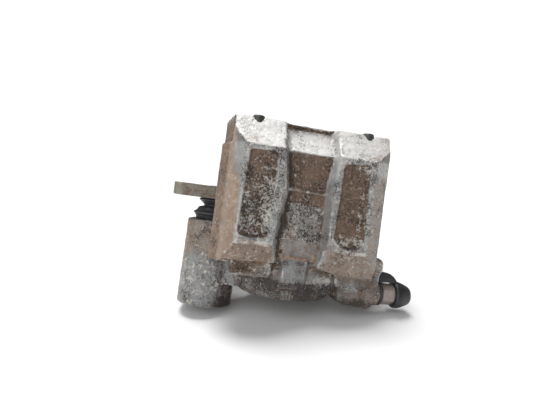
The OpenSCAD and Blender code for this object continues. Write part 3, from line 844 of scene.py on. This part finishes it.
def border_stains_and_painted_light(c):
    """White corrosion under the right rib, painted shade in dark corners and on the valley's right flank,
    and white crust with painted highlights on the ribs' lower ridges.
    """
    x, y, z, front = c.x, c.y, c.z, c.front
    c.paint(front * spot(c.xs, c.zs, (14.5, -43), (6, 2.6)), crust=0.75, soil=0.3)
    # painted shade: inner corners at the valley's left side are darkened to full soil and dark specks
    corner = front * ramp(0.1, 0.35, c.hollow) * between(x, -14, -6.5, 0.5) * between(z, -34, 12, 1)
    c.paint(corner, soil=1, speck=0.8, crust=0, wash=0)
    # white crust with a painted highlight along the ribs' lower rims
    ridge_crust_and_highlight = front * between(z, -29.0, -26.9, 0.5) * between(abs(x), 14.5, 30, 1) * ramp(-26, -27.5, y)
    c.paint(ridge_crust_and_highlight, soil=0.16, crust=0.56, speck=0.16, wash=0.2)
    # the left side strip's border is smooth, without a dark corner
    seam = between(x, -36.5, -34.4, 0.3) * ramp(-23.2, -24, y) * between(z, -38, 20, 1)
    c.hollow = c.hollow * (1 - ramp(-33.5, -34.5, x))
    c.paint(seam, soil=0.15, tan=0.75, crust=0.1, speck=0.05, wash=0.15)
    # painted shade and light, partly soil: the valley's right flank is darker towards its bottom, lighter
    # towards its top
    flank = ramp(-0.25, -0.5, c.normals[:, 0]) * between(x, 6, 15, 0.5) * between(z, -36, 27, 0.5)
    flank = flank * ramp(-14, -17, y)
    c.hollow = c.hollow * (1 - 0.8 * flank)
    upper = ramp(-6, 6, z)
    c.paint(flank, soil=0.4 - 0.24 * upper, tan=0.04, crust=0.06 + 0.1 * upper, speck=0.16,
            wash=0.2 * upper + 0.3 * ramp(8, 16, z))


def casting_stains_and_painted_light(piece):
    """Writes the casting's fields, from the broad soiling of its back to its rubbed edges and their
    painted highlights.
    """
    c = StainsAndPaintedLight(piece)
    facing_back = ramp(-0.2, 0.5, c.normals[:, 1])
    c.paint(facing_back, soil=0.55 + 0.2 * c.large, tan=0.4, crust=0.25 + 0.15 * c.medium)
    for stain in (top_stains_and_painted_light, stain_ribs, stain_valley, stain_sides, stain_lower_end, long_boss_stains_and_painted_shade,
                  border_stains_and_painted_light):
        stain(c)
    fields = c.fields
    fields["soil"] = fields["soil"] + 0.5 * c.hollow + 0.06 * c.medium
    fields["crust"] = fields["crust"] - 0.25 * c.hollow + 0.1 * c.medium
    fields["wash"] = fields["wash"] * (1 - 0.7 * c.hollow)
    # bright edges only on the front half and above the lowest part: rubbing with painted highlights
    rubbed_and_highlit = np.clip(1.6 * c.edge, 0, 1) * (0.5 + 0.5 * c.medium) * ramp(-3, -8, c.y)
    fields["edge"] = rubbed_and_highlit * ramp(-35, -34, c.x) * ramp(-46, -42, c.z)
    store(piece, **fields)


def roughen(piece):
    """Waves, crumbs and pits of a sand casting, as moved vertices."""
    points, normals = vertices(piece)
    height = 0.16 * grain(points, 9, 21, 2) + 0.10 * grain(points, 2.6, 31, 3)
    crumbs = np.clip(grain(points, 1.6, 41, 2), 0, 1) * 0.16
    pits = np.clip(grain(points, 2.1, 51, 2) - 0.45, 0, 1) * 0.5
    move_vertices(piece, points + normals * (height + crumbs - pits)[:, None])


def flare_long_boss(piece):
    """Widens the long boss a little towards its closed end, on its outer side."""
    points, _ = vertices(piece)
    out = points[:, :2] - (PIN_X["left"], PIN_Y)
    flare = 0.035 * ramp(-30, -58, points[:, 2])
    flare = flare * ramp(16, 13.5, np.linalg.norm(out, axis=1)) * ramp(-4, -9, out[:, 0])
    points[:, :2] += out * flare[:, None]
    move_vertices(piece, points)


CASTING_TRIANGLES = 185000  # before its holes are cut


def build_casting():
    """The casting: remeshed rough, thinned to its triangle budget and machined again."""
    rough = from_node("caliper_body", "casting")
    join(rough, cylinder_plugs() + casting_details())
    modify(rough, "REMESH", mode="VOXEL", voxel_size=0.52 * MM)
    modify(rough, "SMOOTH", factor=0.5, iterations=5)
    roughen(rough)
    flare_long_boss(rough)
    modify(rough, "DECIMATE", ratio=min(1, CASTING_TRIANGLES / (2 * len(rough.data.polygons))))
    boolean(rough, "DIFFERENCE", *machined_holes())
    casting_stains_and_painted_light(rough)
    dress(rough, "cast", "caliper", "caliper_body", 50)


# ------------ steel bracket and pins


def build_plate():
    """The bracket plate, with scale and rounded sheared edges, its bolt holes drilled clean."""
    plate = from_node("bracket_plate", "plate")
    plugs = [rod(6, PLATE_LOW, PLATE_TOP, at) for at in BOLTS]
    plugs += [rod(4.5, PLATE_LOW, PLATE_TOP, at) for at in PIN_AT.values()]
    join(plate, plugs)
    modify(plate, "REMESH", mode="VOXEL", voxel_size=0.55 * MM)
    modify(plate, "SMOOTH", factor=0.5, iterations=3)
    points, normals = vertices(plate)
    scale = 0.07 * grain(points, 5, 61, 3) + 0.14 * np.clip(grain(points, 1.7, 71, 2), 0, 1)
    flat = ramp(0.5, 0.9, abs(normals[:, 2]))
    sheared = 0.07 * lattice_noise(points * (1, 1, 0.15), 1.1, 81) * (1 - flat)
    move_vertices(plate, points + normals * (scale * (1 - 0.5 * flat) + sheared)[:, None])
    chamfered = 6.2
    bolt_hole = [(chamfered, -16), (chamfered, -12.4), (BOLT_R, -11.4), (BOLT_R, -6.6),
                 (chamfered, -5.6), (chamfered, -3)]
    holes = [plug(bolt_hole, at) for at in BOLTS]
    holes += [rod(PLATE_PIN_R, -16, -3, at) for at in PIN_AT.values()]
    boolean(plate, "DIFFERENCE", *holes)
    dress(plate, "plate", "bracket", "bracket_plate", 50)


def build_slide_pin(side):
    """Guide pin: peened head, shoulder and a polished running part with a rounded end."""
    node = "slide_pin_" + side
    end = low(node).z
    outline = [(0, PLATE_TOP + 0.5), (3.6, PLATE_TOP + 0.5, 0.8), (5.5, PLATE_TOP + 0.15, 0.3),
               (5.3, PLATE_TOP, 0), (PLATE_PIN_R, PLATE_TOP, 0), (PLATE_PIN_R, PLATE_LOW, 0),
               (6.2, PLATE_LOW, 0), (6.2, PLATE_LOW - 1.6, 0.4), (4.5, PLATE_LOW - 1.6, 0.3),
               (4.5, end + 1.2, 0.3), (3.4, end, 0.2), (0, end)]
    pin = lathe(node + "_turned", fillet(outline), PIN_AT[side])
    dress(pin, "pin", "bracket", node)


def build_boot(side):
    """Rubber bellows from the plate to the boss: a flared lip, a tight waist and one wide fold."""
    outer = [(8.1, -12.05, 0.2), (9.0, -12.9, 0.25), (6.1, -15.2, 0.8), (6.1, -15.9, 0.5), (8.6, -16.6, 0.7),
             (9.6, -18.2, 0.5), (11.0, -19.1, 0.3), (10.9, -19.7, 0.2), (9.9, -20.7, 0.4), (9.3, -22.45, 0.3)]
    inner = [(7.2, -22.45, 0.2), (7.2, -19.8, 0.5), (8.1, -18.5, 0.4), (7.4, -17.5, 0.4), (4.9, -16.4, 0.3),
             (4.9, -14.9, 0.4), (6.4, -13.8, 0.3), (6.4, -12.05, 0.2)]
    boot = lathe("boot_" + side, fillet(outer + inner, 0.3), PIN_AT[side], "Z", 80)
    points, _ = vertices(boot)
    out = points[:, :2] - (PIN_X[side], PIN_Y)
    sag = 0.18 * lattice_noise(points, 5, 91) * ramp(-13, -15, points[:, 2]) * ramp(-22.3, -20, points[:, 2])
    points[:, :2] += out / np.maximum(np.linalg.norm(out, axis=1), 1e-6)[:, None] * sag[:, None]
    move_vertices(boot, points)
    dress(boot, "boot", None, "pin_boot_" + side, 60)
    x = PIN_X[side] * MM
    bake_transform(boot, "bracket", "caliper", start=(x, PIN_Y * MM, -0.0135), end=(x, PIN_Y * MM, -0.0205))


# ------------ piston, pads and their hardware


def build_piston():
    """Hollow ground piston with a groove for the dust seal's lip."""
    r, groove = high("piston").x, 15.65
    outline = [(0, -44.2), (r, -44.2, 0.8), (r, -17.4, 0.15), (groove, -17.4, 0.2), (groove, -15.4, 0.2),
               (r, -15.4, 0.15), (r, -13.2, 0.5), (13.0, -13.2, 0.5), (12.8, -38.6, 1.6), (0, -39.2)]
    piston = lathe("piston_turned", fillet(outline, steps=5), (0, 0, 0), "Z", 128)
    dress(piston, "piston", "piston", "piston")


def soften(node, name, width, material, body, segments=3):
    """A copy of a CAD node with its edges rounded off."""
    piece = from_node(node, name)
    modify(piece, "BEVEL", width=width * MM, segments=segments, limit_method="ANGLE",
           angle_limit=math.radians(30), use_clamp_overlap=True, miter_outer="MITER_ARC")
    dress(piece, material, body, node, 40)


def build_pads():
    for side, body in (("inner", "inner_pad"), ("outer", "caliper")):
        soften(side + "_pad_backing", side + "_backing_pressed", 0.35, "backing", body)
        soften(side + "_pad_lining", side + "_lining_moulded", 0.4, "lining", body)
        soften(side + "_pad_shim", side + "_shim_pressed", 0.12, "shim", body, 2)


def build_pad_pins():
    """Both pad pins: chamfered heads with hexagon sockets, straight shanks and a threaded end."""
    pins = []
    top, end = high("pad_pins").z, low("pad_pins").z
    head, shank, socket = PAD_PIN_HEAD_R, 2.15, 1.9
    for x in PAD_PIN_X.values():
        thread = [(shank if k % 2 else 1.8, -33.5 - 0.45 * k, 0) for k in range(12)]
        outline = [(0, top), (2.3, top, 0.2), (head, top - 0.5, 0.2), (head, PAD_PIN_HEAD_Z, 0.1),
                   (shank, PAD_PIN_HEAD_Z, 0.1), (shank, -33, 0)]
        outline += thread + [(2.1, -39.5, 0.2), (2.1, end + 0.8, 0.2), (1.6, end, 0.1), (0, end)]
        pin = lathe("pad_pins_turned", fillet(outline), (x, PAD_PIN_Y, 0), "Z", 48)
        hollow = hexagon((x, PAD_PIN_Y), socket, 15)
        boolean(pin, "DIFFERENCE", prism("socket", hollow, top - 2.6, top + 1))
        pins.append(pin)
    join(pins[0], pins[1:])
    dress(pins[0], "pad_pin", "caliper", "pad_pins")


def strip(path, thickness):
    """Outline of a bent strip of that thickness, its path given along one face."""
    path = [np.array(p, float) for p in path]
    offset = []
    for i, point in enumerate(path):
        ahead = path[min(i + 1, len(path) - 1)] - path[max(i - 1, 0)]
        ahead = ahead / np.linalg.norm(ahead)
        offset.append(tuple(point + np.array([-ahead[1], ahead[0]]) * thickness))
    return [tuple(p) for p in path] + offset[::-1]


def build_spring():
    """Anti-rattle spring: one bent strip whose legs press on the pads' edges, with turned-up tips."""
    path = [(-17.4, -15.6), (-16.4, -16.6, 0.8), (-8.5, -22.5, 2.5), (8.5, -22.5, 2.5), (16.4, -16.6, 0.8),
            (17.4, -15.6)]
    spring = prism("pad_spring_bent", strip(fillet(path, 2, 6, closed=False), 0.45), -12, 12)
    for x in (-13.8, 13.8):
        window = [(x - 4.5, -25), (x + 4.5, -25), (x + 4.5, -14), (x - 4.5, -14)]
        boolean(spring, "DIFFERENCE", prism("window", window, -6, 6))
    dress(spring, "clip", "caliper", "pad_spring")


def build_clips():
    for side in ("left", "right"):
        soften("pad_clip_" + side, "pad_clip_" + side + "_bent", 0.15, "clip", "bracket", 2)


# ------------ bleeder


def bleeder_hexagon():
    """The screw's hexagon, its corners chamfered at both ends."""
    corners = hexagon((BLEEDER_Y, BLEEDER_Z), HEX_FLATS / math.sqrt(3), 30)
    head = prism("hexagon", corners, HEX_X0, HEX_X1, "X")
    bevel = lathe("bevel", [(0, HEX_X0 - 1), (4.5, HEX_X0 - 0.2), (4.6, HEX_X0), (5.25, HEX_X0 + 0.5),
                            (5.25, HEX_X1 - 0.5), (4.5, HEX_X1 + 0.05), (0, HEX_X1 + 0.05)],
                  BLEEDER_AT, "X", 72)
    boolean(head, "INTERSECT", bevel)
    return head


def build_bleeder():
    """Bleeder screw: cone seat, thread, chamfered hexagon and barbed nipple, drilled through."""
    tip, end = low("bleeder_screw").x, high("bleeder_screw").x
    thread = [(3.42 if k % 2 else 3.0, 29.2 + 0.5 * k, 0) for k in range(24)]
    core = 4.3
    outline = [(0, tip), (1.6, tip, 0.2), (3.1, THREAD_X, 0)] + thread
    outline += [(NECK_R, 42, 0.2), (NECK_R, HEX_X0, 0), (core, HEX_X0 + 0.05, 0), (core, HEX_X1, 0.2),
                (2.7, HEX_X1, 0.3), (2.7, 54.5, 0.3), (3.5, 54.7, 0.2), (3.3, 55.4, 0.4), (2.5, end, 0.3),
                (0, end)]
    screw = lathe("bleeder_turned", fillet(outline), BLEEDER_AT, "X", 72)
    boolean(screw, "UNION", bleeder_hexagon())
    boolean(screw, "DIFFERENCE", rod(1.2, 30.5, end + 1, BLEEDER_AT, "X", 32),
            rod(0.9, -6, 6, (31.5, BLEEDER_Y, BLEEDER_Z), "Z", 24))
    dress(screw, "hexagon", "bleeder", "bleeder_screw")


def build_cap():
    """Rubber cap: a rolled skirt, a rounded crown and a hollow for the nipple."""
    x0, end = low("bleeder_cap").x, high("bleeder_cap").x
    outline = [(3.65, x0, 0.2), (5.8, x0, 0.5), (6.3, x0 + 0.9, 0.5), (6.35, x0 + 2.6, 0.8),
               (5.95, x0 + 4.2, 1.2), (4.9, end - 1.6, 1.0), (4.1, end, 1.3), (0, end), (0, 57.9),
               (2.6, 57.9, 0.5), (3.65, 56, 0.6)]
    cap = lathe("cap_moulded", fillet(outline, steps=6), BLEEDER_AT, "X", 96)
    dress(cap, "cap", "cap", "bleeder_cap", 60)


def build_strap():
    """The cap's strap: a ring round the screw's neck and an arched band to the cap's skirt."""
    section = [(3.5, SEAT_X, 0.3), (5.7, SEAT_X, 0.5), (5.7, HEX_X0 - 0.05, 0.6), (3.5, HEX_X0 - 0.05, 0.3)]
    ring = lathe("strap_ring", fillet(section, 0.4), BLEEDER_AT, "X", 72)
    dress(ring, "ring", "caliper", "bleeder_strap", 60)
    # the band's outline as X from the boss's flat and Z
    upper = [(0.05, -37.4), (1.4, -36.8), (3.4, -36.6), (5.6, -37.0), (7.6, -38.2), (9.0, -39.7),
             (10.0, -41.3), (10.2, -42.4)]
    under = [(9.2, -43.2), (8.8, -42.2), (8.0, -41.5), (6.2, -41.3), (4.0, -41.3), (1.7, -41.5),
             (1.65, -42.4), (0.05, -42.4)]
    width = 3.4
    band = prism("strap_band", fillet(upper + under, 0.6, 3), 0, width, "Y")
    # a prism along Y takes its outline as Z and X, so the two change places
    z, y, x = vertices(band)[0].T
    move_vertices(band, np.stack([x + SEAT_X, y + BLEEDER_Y - width / 2, z], axis=1))
    modify(band, "BEVEL", width=0.7 * MM, segments=3, limit_method="ANGLE", angle_limit=math.radians(60))
    dress(band, "cap", None, "bleeder_strap", 60)
    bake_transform(band, "caliper", "cap", start=((SEAT_X + 1.6) * MM, 0, 0), end=((SEAT_X + 8.6) * MM, 0, 0))


def dress_seals():
    """The rubber seals and the bush keep their CAD meshes, because they are out of sight."""
    for seal in ("piston_seal", "dust_seal", "pin_bush"):
        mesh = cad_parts[seal].data
        mesh.materials.clear()
        mesh.materials.append(MATERIALS["seal"])


# ------------ the whole object

build_casting()
build_plate()
for pin_side in ("left", "right"):
    build_slide_pin(pin_side)
    build_boot(pin_side)
build_piston()
build_pads()
build_pad_pins()
build_spring()
build_clips()
build_bleeder()
build_cap()
build_strap()
dress_seals()

# ------------ camera
# The camera stands a little to the left of the bridge
CAMERA_YAW = math.radians(11.1)
CAMERA_RISE = math.radians(0.4)
CAMERA_ROLL = math.radians(7.4)
CAMERA_RANGE = 0.2058
CAMERA_AIM = Vector((-0.00855, 0.0, -0.01194))
CAMERA_LENS = 26.9


def add_camera():
    """Camera in front of the bridge, rolled so that the caliper's right end hangs lower."""
    back = Vector((-math.sin(CAMERA_YAW) * math.cos(CAMERA_RISE),
                   -math.cos(CAMERA_YAW) * math.cos(CAMERA_RISE),
                   math.sin(CAMERA_RISE)))
    level = Vector((math.cos(CAMERA_YAW), -math.sin(CAMERA_YAW), 0))
    upright = back.cross(level)
    right = level * math.cos(CAMERA_ROLL) + upright * math.sin(CAMERA_ROLL)
    up = back.cross(right)
    data = bpy.data.cameras.new("camera")
    data.lens = CAMERA_LENS
    data.clip_start = 0.01
    data.clip_end = 20
    camera = place("camera", data)
    turn = Matrix((right, up, back)).transposed()
    camera.matrix_world = Matrix.LocRotScale(CAMERA_AIM + back * CAMERA_RANGE, turn, None)
    bpy.context.scene.camera = camera
    return back, right, up


view_back, view_right, view_up = add_camera()

# ------------ table and light
TABLE_TILT = math.radians(12)  # how far the camera looks down on the table
TABLE_HALF = 3000


def add_table():
    """White table that the caliper's lower end stands on."""
    normal = (view_up * math.cos(TABLE_TILT) + view_back * math.sin(TABLE_TILT)).normalized()
    meshes = [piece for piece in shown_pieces() if piece.type == "MESH"]
    reach = min(float((vertices(piece)[0] @ np.array(normal)).min()) for piece in meshes)
    middle_point = CAMERA_AIM + normal * (reach * MM - CAMERA_AIM.dot(normal) - 0.0002)
    ahead = normal.cross(view_right).normalized()
    corners = [np.array(middle_point) / MM + (np.array(view_right) * a + np.array(ahead) * b) * TABLE_HALF
               for a, b in ((-1, -1), (1, -1), (1, 1), (-1, 1))]
    table = from_faces("table", corners, [[0, 1, 2, 3]])
    surface = Surface("white_table")
    paper = surface.noise(400, detail=2)
    surface.finish(surface.blend(paper, colour(240, 240, 241), colour(244, 244, 244)), 0.6, specular=0.2)
    table.data.materials.append(surface.material)


def add_sun(name, direction, strength, spread):
    """A wide sun, so that the table is lit evenly out to its edges."""
    data = bpy.data.lights.new(name, "SUN")
    data.angle = math.radians(spread)
    data.energy = strength
    place(name, data).rotation_euler = direction.to_track_quat("Z", "Y").to_euler()


add_table()
add_sun("overhead", view_up - view_back * 0.05 - view_right * 0.14, 3.2, 31)
add_sun("window", view_up * 0.3 + view_back * 0.8 - view_right * 0.5, 1.5, 80)


def add_world(seen, light):
    """White surroundings, plainly white to the camera and dimmer as light."""
    world = bpy.data.worlds.new("studio")
    world.use_nodes = True
    tree = world.node_tree
    background = tree.nodes["Background"]
    background.inputs["Color"].default_value = (1, 1, 1, 1)
    rays = tree.nodes.new("ShaderNodeLightPath")
    level = tree.nodes.new("ShaderNodeMix")
    level.data_type = "FLOAT"
    level.inputs[2].default_value = light
    level.inputs[3].default_value = seen
    tree.links.new(rays.outputs["Is Camera Ray"], level.inputs["Factor"])
    tree.links.new(level.outputs[0], background.inputs["Strength"])
    bpy.context.scene.world = world


add_world(1.1, 0.2)
bpy.context.scene.view_settings.view_transform = "Standard"
